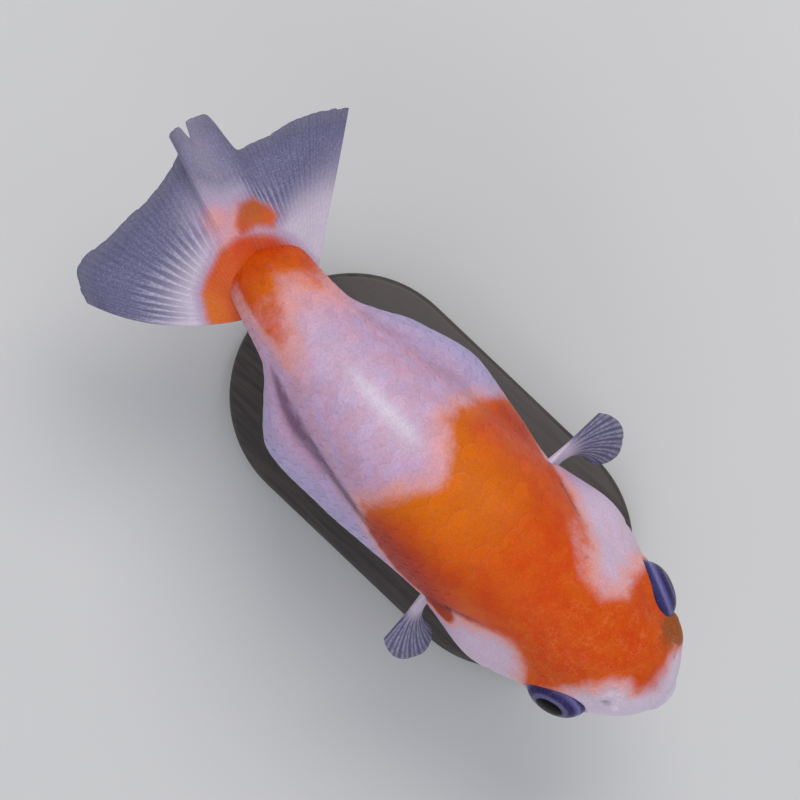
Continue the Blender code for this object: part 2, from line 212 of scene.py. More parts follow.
MM_PER_DEGREE = 0.2  # breadth of one degree round the body, when its surface is laid flat
STEM_FADE = 0.38  # how fast the tail stem's orange deepens towards the tail
COVER_EDGE = (  # degrees round from the back, and the station of the gill cover's free rear edge there
    (38, 20.0), (55, 26.5), (70, 30.0), (90, 32.6), (105, 31.7), (125, 29.6), (145, 26.0), (165, 19.5),
    (180, 14.0),
)
SADDLE = (  # corners of the great orange patch: station, degrees round from the back
    (3.6, 28), (3.0, 2), (4.0, -15), (6.4, -7), (8.6, -20), (10.8, -40), (13.2, -62), (14.6, -86),
    (16.6, -58), (18.9, -44), (21.0, -40), (23.4, -47), (26.4, -56), (30.0, -66), (32.6, -96),
    (36.5, -92), (40.5, -76), (44.2, -58), (46.6, -40), (44.0, -17), (41.2, 1), (44.2, 13), (47.4, 22),
    (46.9, 46), (45.6, 76), (43.4, 106), (38.0, 106), (34.4, 92), (29.4, 66), (24.4, 46), (23.0, 29),
    (21.2, 19), (18.8, 15), (16.1, 17), (13.6, 31), (14.6, 42), (14.8, 62), (14.4, 92), (10.2, 108),
    (5.8, 92), (4.6, 64), (4.7, 40),
)
STEM_ORANGE_STARTS = (  # degrees round from the back, and the station where the tail stem turns orange
    (-180, 88.0), (-110, 83.0), (-62, 78.4), (-46, 77.4), (-36, 73.2), (-26, 70.0), (-12, 71.6),
    (0, 75.4), (10, 76.4), (28, 75.2), (42, 73.6), (80, 75.0), (120, 82.0), (180, 88.0),
)
RUSTY_PATCHES = (  # before the left eye, and on the right gill cover: place, two half-sizes, how brown
    (5.8, 70, 2.8, 38, 1.0),
    (30.2, -75, 3.4, 18, 0.35),
)
MARKING_NAMES = ("orange_depth", "golden", "red", "lilac", "pale", "shade", "rusty")


def depth_in_patch(corners, place):
    """Distance from places to a patch's edge, in their own units, negative outside the patch."""
    corners = np.array(corners, float)
    nearest = np.full(len(place), 1e9)
    inside = np.zeros(len(place), bool)
    for start, end in zip(corners, np.roll(corners, -1, axis=0)):
        edge = end - start
        along = np.clip((place - start) @ edge / (edge @ edge), 0.0, 1.0)
        nearest = np.minimum(nearest, np.linalg.norm(place - start - along[:, None] * edge, axis=1))
        if edge[1]:
            between = (start[1] > place[:, 1]) != (end[1] > place[:, 1])
            crossing = start[0] + (place[:, 1] - start[1]) / edge[1] * edge[0]
            inside ^= between & (place[:, 0] < crossing)
    return np.where(inside, nearest, -nearest)


def behind_cover(station, degrees):
    """Distance in mm behind the gill cover's free edge."""
    return station - table_curve(COVER_EDGE, np.abs(degrees))


def body_markings(station, degrees):
    """What each place on the body keeps for its colour."""
    side = np.abs(degrees)
    laid_flat = (1.0, MM_PER_DEGREE)
    saddle = depth_in_patch(np.array(SADDLE) * laid_flat, np.stack((station, degrees), axis=-1) * laid_flat)
    stem = (station - table_curve(STEM_ORANGE_STARTS, degrees)) * STEM_FADE
    stem = np.minimum(stem, 0.3 + rising(station, 73.5, 78))
    behind = behind_cover(station, degrees)
    veil = hill(station, 24.5, 4.5) * hill(degrees, 35, 14)
    orange, rusty = np.maximum(saddle * (1 - 0.98 * veil), stem), 0.0
    for at, turn, half_long, half_wide, brown in RUSTY_PATCHES:
        out = np.hypot((station - at) / half_long, (degrees - turn) / half_wide)
        patch = falling(out, 0.3, 1.4)
        orange, rusty = np.maximum(orange, 7.0 * patch - 5.0), np.maximum(rusty, brown * patch)
    golden = hill(station, 38.5, 9.0) * hill(degrees, 4, 32)
    golden += 0.6 * hill(saddle, 0.6, 1.5) * rising(station, 36, 42)
    golden += 0.8 * hill(station, 75.5, 3.5) * hill(degrees, 6, 42)
    red = 1.2 * hill(station, 39.0, 9.0) * hill(degrees, -62, 30)
    red += 0.6 * hill(station, 40.0, 8.0) * hill(degrees, 84, 30)
    red += 0.55 * hill(station, 30.4, 3.5) * hill(degrees, -77, 14)
    lilac = rising(side, 46, 100) * band(station, 33, 47, 62, 73)
    lilac += 0.45 * rising(side, 70, 120) * falling(station, 34, 44)
    lilac += 0.8 * falling(station, 1, 5)
    # Painted highlight along the ridge of the back: a narrow streak and a broad soft band.
    pale = 0.5 * hill(degrees, 4, 3.2) * band(station, 44, 51, 56, 64)
    pale += 0.35 * hill(degrees, 4, 24) * band(station, 42, 50, 68, 77)
    pale += 0.75 * rising(-saddle, -0.4, 2.4) * falling(station, 5, 16)
    pale += 0.5 * rising(side, 12, 34) * band(station, 5, 16, 24, 34)
    # Painted shade in the groove behind each gill cover's free edge, and in the folds between the back and
    # the belly lobes.
    gill_line = hill(behind, 0.25, 0.55) * band(side, 40, 56, 165, 180)
    flank = 0.38 * hill(degrees, 60, 13) + 0.36 * hill(degrees, -56, 13) + 0.8 * hill(degrees, -54, 6)
    flank = flank * band(station, 41, 48, 64, 70)
    # A small dark speck, the skin's own colour.
    speck = 0.9 * hill(np.hypot(station - 21.4, (degrees - 26) * MM_PER_DEGREE), 0.0, 0.28)
    shade = np.clip(0.8 * gill_line + flank + speck, 0, 1)
    return dict(zip(MARKING_NAMES, (orange, golden, red, lilac, pale, shade, rusty)))


def keep_on(mesh, values):
    """Stores one number for each point of a mesh, or the same one for all, under each name."""
    for name, numbers in values.items():
        layer = mesh.attributes.new(name, "FLOAT", "POINT")
        layer.data.foreach_set("value", np.full(len(mesh.vertices), numbers, np.float32))


def paint(red, green, blue):
    """A colour given as a screen shows it, 0 to 255, made linear."""
    return tuple(((c / 255 + 0.055) / 1.055) ** 2.4 for c in (red, green, blue)) + (1.0,)


def new_material(name):
    material = bpy.data.materials.new(name)
    material.use_nodes = True
    return material, material.node_tree, material.node_tree.nodes["Principled BSDF"]


def feed(tree, node, values):
    """Gives a node's inputs numbers, colours or other nodes' outputs."""
    for key, value in dict(values).items():
        if isinstance(value, bpy.types.NodeSocket):
            tree.links.new(value, node.inputs[key])
        else:
            node.inputs[key].default_value = value


def put(tree, kind, values=(), **settings):
    """A new node with these settings, whose inputs take these values."""
    node = tree.nodes.new(kind)
    for key, value in settings.items():
        setattr(node, key, value)
    feed(tree, node, values)
    return node


def calculated(tree, operation, *values):
    return put(tree, "ShaderNodeMath", enumerate(values), operation=operation).outputs[0]


def product(tree, first, *others):
    for other in others:
        first = calculated(tree, "MULTIPLY", first, other)
    return first


def scaled(tree, vector, share):
    """A colour or a place times a number."""
    node = put(tree, "ShaderNodeVectorMath", {0: vector, "Scale": share}, operation="SCALE")
    return node.outputs["Vector"]


def stepped(tree, value, low, high, least=0.0, most=1.0):
    """A smooth rise from least to most as the value goes from low to high."""
    values = {"Value": value, "From Min": low, "From Max": high, "To Min": least, "To Max": most}
    return put(tree, "ShaderNodeMapRange", values, interpolation_type="SMOOTHSTEP").outputs["Result"]


def blended(tree, share, first, second):
    return put(tree, "ShaderNodeMix", {0: share, 6: first, 7: second}, data_type="RGBA").outputs[2]


def layered(tree, colour, *layers):
    """A colour with others laid over it in turn, each by its own share."""
    for share, over in layers:
        colour = blended(tree, share, colour, over)
    return colour


def kept(tree, name):
    return put(tree, "ShaderNodeAttribute", attribute_name=name).outputs["Fac"]


def object_place(tree):
    return put(tree, "ShaderNodeTexCoord").outputs["Object"]


def mottle(tree, size_mm, detail=2.0, distortion=0.0):
    """Soft cloudy noise in the model's own space, whose clouds are about size_mm across."""
    values = {"Vector": object_place(tree), "Scale": 1 / (size_mm * MM)}
    values.update({"Detail": detail, "Distortion": distortion})
    return put(tree, "ShaderNodeTexNoise", values).outputs["Fac"]


ORANGE, GOLD, DEEP_RED = paint(212, 70, 1), paint(222, 110, 1), paint(164, 30, 5)
PEACH, RUSTY, WARM_PINK = paint(228, 110, 44), paint(136, 82, 24), paint(238, 160, 146)
PINK_WHITE, LILAC, PALE = paint(204, 172, 210), paint(186, 173, 214), paint(226, 213, 228)
BLUSH, SHADE = paint(222, 142, 142), paint(84, 54, 84)

group = bpy.data.node_groups.new("Goldfish colours", "ShaderNodeTree")
group.interface.new_socket("Ragged", in_out="INPUT", socket_type="NodeSocketFloat")
for name, kind in (("Color", "Color"), ("Orange", "Float"), ("Grain", "Float")):
    group.interface.new_socket(name, in_out="OUTPUT", socket_type=f"NodeSocket{kind}")
given, made = group.nodes.new("NodeGroupInput"), group.nodes.new("NodeGroupOutput")
cloud, fine, grain = mottle(group, 2.6, 3.0), mottle(group, 0.7, 2.0, 0.6), mottle(group, 0.28, 2.0)
wander = product(group, calculated(group, "SUBTRACT", cloud, 0.5), 1.9)
fray = calculated(group, "SUBTRACT", fine, 0.5)
ragged = product(group, calculated(group, "ADD", wander, fray), given.outputs["Ragged"])
depth = calculated(group, "ADD", kept(group, "orange_depth"), ragged)
in_orange = stepped(group, depth, -1.2, 1.0)
orange = layered(
    group,
    ORANGE,
    (stepped(group, cloud, 0.3, 0.7, 0.0, 0.35), GOLD),
    (stepped(group, kept(group, "golden"), 0.05, 1.0, 0.0, 0.9), GOLD),
    (stepped(group, kept(group, "red"), 0.05, 0.95, 0.0, 0.92), DEEP_RED),
    (stepped(group, fine, 0.52, 0.78, 0.0, 0.24), PEACH),
    (stepped(group, kept(group, "rusty"), 0.0, 1.0, 0.0, 0.8), RUSTY),
)
in_lilac, near_orange = kept(group, "lilac"), stepped(group, depth, -3.5, -0.6)
uneven = stepped(group, cloud, 0.3, 0.7, 0.6, 0.9)
coat = layered(
    group,
    PINK_WHITE,
    (stepped(group, cloud, 0.35, 0.68, 0.3, 0.0), BLUSH),
    (stepped(group, in_lilac, 0.0, 1.0), LILAC),
    (stepped(group, fine, 0.3, 0.7, 0.1, 0.0), SHADE),
    # Pale: in part the white of snout, cheeks and fin roots, in part a painted highlight along the back.
    (stepped(group, kept(group, "pale"), 0.0, 1.0, 0.0, 0.95), PALE),
    (product(group, near_orange, uneven, stepped(group, in_lilac, 0.1, 0.7, 1.0, 0.35)), WARM_PINK),
    (in_orange, orange),
    # Painted shade in the gill lines, flank folds, mouth, eyes' rims and nostrils, and one small dark
    # speck.
    (stepped(group, kept(group, "shade"), 0.05, 1.0, 0.0, 0.75), SHADE),
)
dusty = scaled(group, coat, stepped(group, grain, 0.3, 0.7, 0.9, 1.04))
feed(group, made, {"Color": dusty, "Orange": in_orange, "Grain": grain})
coat_colours = group


def coloured(tree, ragged=1.0):
    """The node that gives the colours of the live skin."""
    return put(tree, "ShaderNodeGroup", {"Ragged": ragged}, node_tree=coat_colours)


def bump(tree, height, strength, depth_mm):
    values = {"Height": height, "Strength": strength, "Distance": depth_mm * MM}
    return put(tree, "ShaderNodeBump", values).outputs["Normal"]


def made_mesh(bm, name):
    """The mesh of this name that a bmesh is turned into, with its faces outward."""
    bmesh.ops.recalc_face_normals(bm, faces=bm.faces)
    mesh = bpy.data.meshes.new(name)
    bm.to_mesh(mesh)
    bm.free()
    return mesh


def finished(obj, sharp_angle=None):
    """Shades a piece, and has it ride on the body."""
    obj.data.shade_smooth()
    if sharp_angle:
        obj.data.set_sharp_from_angle(angle=math.radians(sharp_angle))
    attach(obj, "root")
    return obj


def new_piece(name, mesh, material):
    obj = bpy.data.objects.new(name, mesh)
    bpy.context.scene.collection.objects.link(obj)
    mesh.materials.append(material)
    return obj


# --------------------------------------------------------------------------------
# Skin. One closed hide over head, jaw, gill covers, trunk and tail stem. It is bare on the head, where
# it carries the lips, nostrils, rims of the eyes, gill covers and the low pimpled growth of the crown,
# and it lies under the scales behind that. It is made by moving a sphere's rings to the body's form.

SKIN_SIDES, SKIN_RINGS = 230, 330
HEAD_CROWDING = 1.3  # over 1 draws the rings towards the head
COAT_DEPTH = 0.2  # how far the skin lies inside the solids under the scales
HEAD_DEPTH = 0.1  # and where it is bare
MOUTH_UP, MOUTH_SAG, MOUTH_DEPTH = -1.4, 0.05, 1.5
MOUTH_HALF_WIDTH, MOUTH_HALF_HEIGHT = 2.3, 0.5
LIP_HEIGHT, LIP_BESIDE, LIP_OVER = 0.75, 1.1, 1.15  # and how far lips reach beside and over the mouth
CHIN_HEIGHT, LIP_FOLD_DEPTH, LIPS_SUNK = 0.35, 0.4, 0.25
LEFT_CHEEK_HEIGHT = 0.7  # the snout is fuller before the left eye
EYE_REACH = 4.0  # mm from an eye's middle to its surface, as a rule
EYE_RIM_HEIGHT, EYE_GROOVE_DEPTH = 0.35, 0.15
EYE_CREASES, EYE_CREASE_HEIGHT = 26, 0.05
BROW = {  # how far the brow stands out over an eye, from the eye's front to its rear
    "left": ((-4.5, -0.7), (-1.5, -0.2), (1.5, 0.5), (4.5, 0.9)),
    "right": ((-4.5, -0.5), (-1.5, -0.1), (1.5, 0.3), (4.5, 0.9)),
}
NOSTRILS = ((3.3, 54, 0.7), (5.9, -45, 0.9))  # station, degrees round from the back, radius
NASAL_FLAPS = ((4.4, 47, 0.7), (4.6, -47, 0.75))
FLAP_HEIGHT, NOSTRIL_DEPTH = 0.55, 0.6
COVER_LIFT, COVER_STEP = 0.1, 0.38  # height of a gill cover's free edge, and the step down behind it
INNER_LINE_DEPTH = 0.16  # of the line on a gill cover where its inner plate ends
GROWTH_HEIGHT, GROWTH_PIMPLE = 0.24, 1.0  # of the crown's growth, and the breadth of its pimples


def mouth_relief(place):
    """Rounded lips about a small mouth in the front of the snout, and the painted shade of its opening."""
    x, y, z = place.T
    above = z - (MOUTH_UP - MOUTH_SAG * x**2)
    front = falling(y, 3.0, 5.0)
    out = np.hypot(x / MOUTH_HALF_WIDTH, above / MOUTH_HALF_HEIGHT)
    lips_out = np.hypot(x / (MOUTH_HALF_WIDTH + LIP_BESIDE), above / (MOUTH_HALF_HEIGHT + LIP_OVER))
    opening = falling(out, 0.45, 1.1) * front
    lips = LIP_HEIGHT * hill(lips_out, 0.72, 0.3)
    fold = -LIP_FOLD_DEPTH * hill(lips_out, 1.22, 0.22)
    chin = CHIN_HEIGHT * hill(above, -4.2, 1.3) * falling(np.abs(x), 2.5, 5.0)
    return (lips + fold + chin - LIPS_SUNK) * front - MOUTH_DEPTH * opening, opening


def about_eye(place, eye):
    """Distances in mm from an eye's surface, and from its middle towards the tail and upwards."""
    turned, out, forward = EYES[eye]
    x, y, z = (place - np.array((turned * out, EYE_STATION, EYE_UP))).T
    turn = math.radians(forward)
    outward = turned * x * math.cos(turn) - y * math.sin(turn)
    backward = turned * x * math.sin(turn) + y * math.cos(turn)
    reach = np.linalg.norm(np.stack((outward, backward, z), axis=-1) / np.array(EYE_RADII), axis=-1)
    return (reach - 1) * EYE_REACH, backward, z


def pimples(place, size):
    """Low rounded pimples of uneven size, 0 to 1."""
    heights = np.empty(len(place))
    for i, point in enumerate(place):
        nearest = noise.voronoi(Vector(point) / size, distance_metric="DISTANCE", exponent=2.5)[0]
        heights[i] = nearest[1] - nearest[0]
    return np.clip(heights * 1.6, 0.0, 1.0)


def skin_relief(station, degrees):
    """Height in mm over the solids' surface, the shade of slits and folds, and the crown's growth."""
    place = body_point(station, degrees)
    side = np.abs(degrees)
    behind = behind_cover(station, degrees)
    on_head = falling(station, 28.5, 30.5)
    on_cover = falling(behind, 0.0, 0.8) * rising(side, 45, 60)
    behind_scales = rising(station, 79.9, 80.9)
    bare = np.maximum(np.maximum(on_head, on_cover), behind_scales)
    mouth, shade = mouth_relief(place)
    height = mouth - HEAD_DEPTH * bare - COAT_DEPTH * (1 - bare)
    height += LEFT_CHEEK_HEIGHT * hill(station, 5.2, 2.2) * hill(degrees, 88, 38)
    grown = band(station, 3.0, 6.5, 17, 27) * falling(side, 60, 95)
    for eye in EYES:
        away, backward, over = about_eye(place, eye)
        grown = grown * rising(away, 0.4, 1.8)
        height += EYE_RIM_HEIGHT * hill(away, 0.3, 0.6)
        height -= EYE_GROOVE_DEPTH * hill(away, 2.2, 0.8) * rising(-backward, -2.0, 2.0)
        brow = table_curve(BROW[eye], backward)
        height += brow * hill(away, -0.4, 2.6) * rising(over, 0.0, 3.0)
        creases = np.sin(np.arctan2(over, backward) * EYE_CREASES) * hill(away, 1.5, 0.9)
        height += EYE_CREASE_HEIGHT * creases * rising(over, -2.0, 1.0)
        # Painted shade where the skin meets the eye.
        shade = np.maximum(shade, 0.5 * hill(away, -0.1, 0.35))
    for (at, turn, radius), (flap_at, flap_turn, flap_radius) in zip(NOSTRILS, NASAL_FLAPS):
        pit = np.linalg.norm(place - body_point(at, turn), axis=1)
        flap = np.linalg.norm(place - body_point(flap_at, flap_turn), axis=1)
        height += FLAP_HEIGHT * hill(flap, 0.0, flap_radius) - NOSTRIL_DEPTH * hill(pit, 0.0, radius)
        # Painted shade in and about the nostril pit.
        shade = np.maximum(shade, 0.42 * falling(pit, radius * 0.5, radius * 1.5))
        shade = np.maximum(shade, 0.75 * hill(pit, 0.0, radius * 0.5))
    step = COVER_LIFT - COVER_STEP * rising(behind, -0.55, 0.25)
    step += (COVER_STEP - COVER_LIFT) * rising(behind, 0.2, 2.4)
    height += step * rising(behind, -6.0, -1.0) * band(side, 42, 58, 166, 180)
    inner_line = behind_cover(station * 1.42, degrees) + 4.0
    height -= INNER_LINE_DEPTH * hill(inner_line, 0.0, 0.7) * band(side, 62, 80, 140, 160)
    near = grown > 0.01
    height[near] += GROWTH_HEIGHT * (pimples(place[near], GROWTH_PIMPLE) - 0.4) * grown[near]
    return height, shade, grown


bm = bmesh.new()
bmesh.ops.create_uvsphere(bm, u_segments=SKIN_SIDES, v_segments=SKIN_RINGS, radius=1.0)
ball = np.array([vert.co for vert in bm.verts])
share = np.arccos(np.clip(ball[:, 2], -1.0, 1.0)) / math.pi
stations = BODY_LENGTH * ((1 - np.cos(math.pi * share)) / 2) ** HEAD_CROWDING
turns = np.degrees(np.arctan2(ball[:, 0], ball[:, 1]))
heights, slits, growth = skin_relief(stations, turns)
for vert, place in zip(bm.verts, over_body(stations, turns, heights)):
    vert.co = place
mesh = made_mesh(bm, "skin")
markings = body_markings(stations, turns)
# The painted shade of the mouth's opening, the eyes' rims and the nostril pits joins the markings' shade.
markings["shade"] = np.maximum(markings["shade"], slits)
keep_on(mesh, markings)
keep_on(mesh, {"growth": growth})


def cells(tree, size_mm):
    """Small rounded cells in the model's own space: 0 at each one's middle, more at its edge."""
    values = {"Vector": object_place(tree), "Scale": 1 / (size_mm * MM)}
    return put(tree, "ShaderNodeTexVoronoi", values).outputs["Distance"]


def furrows(tree, size_mm):
    """The lines between uneven cells in the model's own space: 0 on a line, more inside a cell."""
    place = object_place(tree)
    wavy = put(tree, "ShaderNodeTexNoise", {"Vector": place, "Scale": 1 / (1.1 * MM)}).outputs["Color"]
    moved = put(tree, "ShaderNodeVectorMath", {0: place, 1: scaled(tree, wavy, 0.5 * MM)}, operation="ADD")
    values = {"Vector": moved.outputs["Vector"], "Scale": 1 / (size_mm * MM)}
    return put(tree, "ShaderNodeTexVoronoi", values, feature="DISTANCE_TO_EDGE").outputs["Distance"]


WET_SKIN = {"Roughness": 0.5, "Specular IOR Level": 0.14, "Coat Weight": 0.04, "Coat Roughness": 0.3}

skin_look, tree, shader = new_material("Goldfish skin")
colours = coloured(tree)
furrow = stepped(tree, furrows(tree, 0.62), 0.01, 0.13, 0.32, 0.0)
broken = stepped(tree, mottle(tree, 1.4, 3.0), 0.42, 0.62)
furrow = product(tree, furrow, kept(tree, "growth"), broken, colours.outputs["Orange"])
pores = calculated(tree, "ADD", cells(tree, 0.55), colours.outputs["Grain"])
feed(tree, shader, WET_SKIN | {
    "Base Color": blended(tree, furrow, colours.outputs["Color"], paint(236, 128, 76)),
    "Subsurface Weight": 0.12,
    "Subsurface Radius": (1.0, 0.45, 0.35),
    "Subsurface Scale": 0.0012,
    "Normal": bump(tree, pores, 0.35, 0.12),
})

skin = finished(new_piece("skin", mesh, skin_look))
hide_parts("head", "lower_jaw", "gill_cover_left", "gill_cover_right", "trunk", "tail_stem")

# --------------------------------------------------------------------------------
# Scales. Thin rounded plates of bone in a clear, slightly pearly skin, rooted in rows that run round
# the body, each row half a scale on from the last and lying over the front of the next. One plate is
# modelled flat and closed, and an array of it is laid on the body.

SCALES_ROUND = 38
SCALE_PITCH = ((26, 1.55), (45, 1.85), (60, 1.7), (70, 1.35), (81, 1.0))  # station, distance to next row
FIRST_ROW, LAST_STATION = 25.0, 79.8
SCALES_START = (  # degrees round from the back, and the station where the first scale is rooted
    (0, 29.2), (42, 28.6), (55, 29.2), (70, 31.8), (90, 35.2), (105, 34.8), (125, 32.2), (145, 28.2),
    (165, 25.5), (180, 25.0),
)
SCALE_BREADTH, SCALE_LENGTH = 1.26, 1.9  # of its share of the ring, and of the distance to the next row
SCALE_THICKNESS = 0.03
ROOT_HEIGHT, TIP_HEIGHT = -0.12, -0.045  # of the top of its front and rear ends over the solids
TIP_LIFT = 0.006  # how much more or less by chance
FIRST_ROOT_HEIGHT, FIRST_ROWS = -0.21, 1.2  # of its front end in the rows that no other scale covers
SCALE_DROOP = 0.01  # how far its two sides curve down
STRAY_BACK, STRAY_ROUND = 0.05, 0.5  # by chance, as a share of the distance between rows, and in degrees
PLATE_CORNERS, PLATE_RIM = 12, 0.14
BAKE_PATCH = 0.003  # breadth of one scale on the flat map of the skin


def raised(bm, faces, height):
    """Grows faces straight up, and returns the new ones on top."""
    grown = bmesh.ops.extrude_face_region(bm, geom=faces)["geom"]
    corners = [item for item in grown if isinstance(item, bmesh.types.BMVert)]
    bmesh.ops.translate(bm, vec=(0, 0, height), verts=corners)
    return [item for item in grown if isinstance(item, bmesh.types.BMFace)]


bm = bmesh.new()
bmesh.ops.create_circle(bm, cap_ends=True, segments=PLATE_CORNERS, radius=1.0)
top = raised(bm, bm.faces[:], 1.0)
bmesh.ops.inset_individual(bm, faces=top, thickness=PLATE_RIM)
bmesh.ops.poke(bm, faces=top)
bmesh.ops.recalc_face_normals(bm, faces=bm.faces)
bm.verts.index_update()
plate = np.array([vert.co for vert in bm.verts])
plate_faces = [[vert.index for vert in face.verts] for face in bm.faces]
bm.free()

chance = random.Random(7)
roots = []  # each scale's station, degrees round, row's distance to the next, tint, and height in front
station, row = FIRST_ROW, 0
while station < LAST_STATION:
    pitch = float(table_curve(SCALE_PITCH, station))
    for i in range(SCALES_ROUND):
        turn = (i + 0.5 * (row % 2)) * 360 / SCALES_ROUND - 180
        behind_start = station - float(table_curve(SCALES_START, abs(turn)))
        if behind_start > 0:
            at = station + chance.uniform(-STRAY_BACK, STRAY_BACK) * pitch
            turn += chance.uniform(-STRAY_ROUND, STRAY_ROUND)
            front = ROOT_HEIGHT if behind_start > FIRST_ROWS * pitch else FIRST_ROOT_HEIGHT
            roots.append((at, turn, pitch, chance.uniform(-1, 1), front))
    station, row = station + pitch, row + 1
root_stations, root_turns, pitches, tints, fronts = np.array(roots).T[..., None]

across, backward, above = plate.T
scale_stations = root_stations + backward * pitches * SCALE_LENGTH / 2
scale_turns = root_turns + across * SCALE_BREADTH * 180 / SCALES_ROUND
tips = TIP_HEIGHT + tints * TIP_LIFT
lie = fronts + (tips - fronts) * (backward + 1) / 2 - SCALE_DROOP * across**2
lie = lie + (above - 1) * SCALE_THICKNESS
map_across = root_turns / 360 + 0.5 + across * BAKE_PATCH / 2
map_along = root_stations / BODY_LENGTH + backward * BAKE_PATCH / 2
flat = np.stack((map_across, map_along), axis=-1).reshape(-1, 2)
rear_rim = (np.hypot(across, backward) > 0.9) * rising(backward, 0.0, 0.6)
rear_rim, tints = np.broadcast_arrays(rear_rim, tints)

stations, turns = scale_stations.ravel(), (scale_turns.ravel() + 180) % 360 - 180
places = over_body(stations, turns, lie.ravel())
firsts = range(0, len(places), len(plate))
faces = [[first + corner for corner in face] for first in firsts for face in plate_faces]
mesh = bpy.data.meshes.new("scales")
mesh.from_pydata(places.tolist(), [], faces)
mesh.update()
keep_on(mesh, body_markings(np.clip(stations, 0, BODY_LENGTH), turns))
keep_on(mesh, {"scale_rim": rear_rim.ravel(), "scale_tint": tints.ravel()})
corners = np.empty(len(mesh.loops), np.int32)
mesh.loops.foreach_get("vertex_index", corners)
mesh.uv_layers.new(name="OFBake").data.foreach_set("uv", flat[corners].astype(np.float32).ravel())

scale_look, tree, shader = new_material("Goldfish scales")
colours = coloured(tree)
rim = stepped(tree, kept(tree, "scale_rim"), 0.35, 1.0, 0.0, 0.05)
tinted = blended(tree, rim, colours.outputs["Color"], paint(236, 206, 214))
feed(tree, shader, WET_SKIN | {
    "Base Color": scaled(tree, tinted, stepped(tree, kept(tree, "scale_tint"), -1.0, 1.0, 0.94, 1.04)),
    "Normal": bump(tree, colours.outputs["Grain"], 0.25, 0.08),
})
finished(new_piece("scales", mesh, scale_look), sharp_angle=50)

# --------------------------------------------------------------------------------
# Eyes. A dark violet ball, flatter along its sight, with a pale ring about the iris and a black pupil
# under a clear wet cornea that bulges a little. Each is a sphere drawn out to the solid's own radii.

CORNEA_BULGE = 0.13  # share by which the ball stands out about its line of sight
SIGHT_RISES = {"left": 0.0, "right": 41.0}  # degrees above level to which each eye looks
EYE_SIDES, EYE_RINGS = 96, 90
IRIS_RINGS = (  # degrees off the line of sight, and the colour from there
    (0, (2, 2, 4)), (21, (2, 2, 4)), (24, (92, 90, 124)), (30, (98, 94, 132)), (35, (50, 42, 84)),
    (46, (50, 44, 92)), (54, (96, 92, 146)), (61, (122, 120, 172)), (69, (64, 58, 112)),
    (90, (42, 38, 84)),
)

eye_look, tree, shader = new_material("Goldfish eye")
uneven = product(tree, calculated(tree, "SUBTRACT", mottle(tree, 0.9), 0.5), 3.5)
off_sight = calculated(tree, "DIVIDE", calculated(tree, "ADD", kept(tree, "off_sight"), uneven), 90.0)
rings = put(tree, "ShaderNodeValToRGB", {"Fac": off_sight})
ramp = rings.color_ramp
ramp.elements[0].color, ramp.elements[1].color = paint(*IRIS_RINGS[0][1]), paint(*IRIS_RINGS[-1][1])
for degrees, colour in IRIS_RINGS[1:-1]:
    ramp.elements.new(degrees / 90).color = paint(*colour)
flecks = stepped(tree, mottle(tree, 0.3), 0.45, 0.7, 0.0, 0.4)
flecked = blended(tree, flecks, rings.outputs["Color"], paint(88, 80, 124))
feed(tree, shader, {
    "Base Color": blended(tree, stepped(tree, off_sight, 0.23, 0.27), paint(3, 3, 5), flecked),
    "Roughness": 0.35,
    "Specular IOR Level": 0.06,
    "Coat Weight": 0.18,
    "Coat IOR": 1.2,
    "Coat Roughness": 0.04,
    "Normal": bump(tree, mottle(tree, 0.5), 0.15, 0.04),
})

for side, (turned, out, forward) in EYES.items():
    rise = math.radians(SIGHT_RISES[side])
    sight = Vector((turned * math.cos(rise), 0.0, math.sin(rise)))
    to_sight = sight.to_track_quat("Z", "Y").to_matrix().to_4x4()
    bm = bmesh.new()
    bmesh.ops.create_uvsphere(bm, u_segments=EYE_SIDES, v_segments=EYE_RINGS, radius=1.0, matrix=to_sight)
    off_sight = [math.degrees(vert.co.angle(sight)) for vert in bm.verts]
    for vert, degrees in zip(bm.verts, off_sight):
        vert.co *= 1 + CORNEA_BULGE * float(falling(degrees, 15.0, 70.0))
    size = Matrix.Diagonal([radius * MM for radius in EYE_RADII])
    turn = Matrix.Rotation(math.radians(-turned * forward), 3, "Z")
    centre = Vector(SNOUT_TIP) + Vector((turned * out, EYE_STATION, EYE_UP)) * MM
    bmesh.ops.transform(bm, matrix=Matrix.Translation(centre) @ (turn @ size).to_4x4(), verts=bm.verts)
    mesh = made_mesh(bm, f"eyeball_{side}")
    keep_on(mesh, {"off_sight": off_sight})
    eyeball = finished(new_piece(f"eyeball_{side}", mesh, eye_look))
    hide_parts(f"eye_{side}")

# --------------------------------------------------------------------------------
# Tail. Two spread lobes joined by a raised crest: one thin membrane on bony rays, which fork towards
# its ragged edge, with a fleshy orange root that sits round the tail stem. The middle sheet is a grid
# moved to the guide rays, and a wall is grown from it, thick at each ray and at the root.

FIN_ROOT_DEPTH = 1.6
FIN_WALL = 1.7  # thickest place, at a fin's root
MEMBRANE, RAY_WALL = 0.3, 0.1  # thickness between the rays, and what a ray adds to it
TAIL_RAYS = (  # station, degrees round, first sweep, last sweep, rise, length: from left lobe to right
    (75.2, 104, 46, 44, -8, 22.0),
    (76.4, 98, 40, 37, -4, 20.2),
    (77.6, 88, 30, 26, 2, 17.8),
    (79.0, 74, 18, 15, 8, 15.2),
    (80.2, 56, 6, 3, 14, 14.2),
    (81.0, 34, 5, 5, 22, 20.6),
    (81.6, 0, 3, 3, 28, 21.2),
    (81.0, -34, 3, 3, 24, 20.9),
    (80.2, -56, 8, 9, 14, 18.2),
    (79.0, -74, -12, -2, 8, 16.3),
    (77.6, -88, -36, -18, 2, 18.5),
    (76.2, -98, -56, -31, -4, 22.9),
    (74.8, -104, -70, -29, -8, 22.9),
)
TAIL_FIN_RAYS = 46
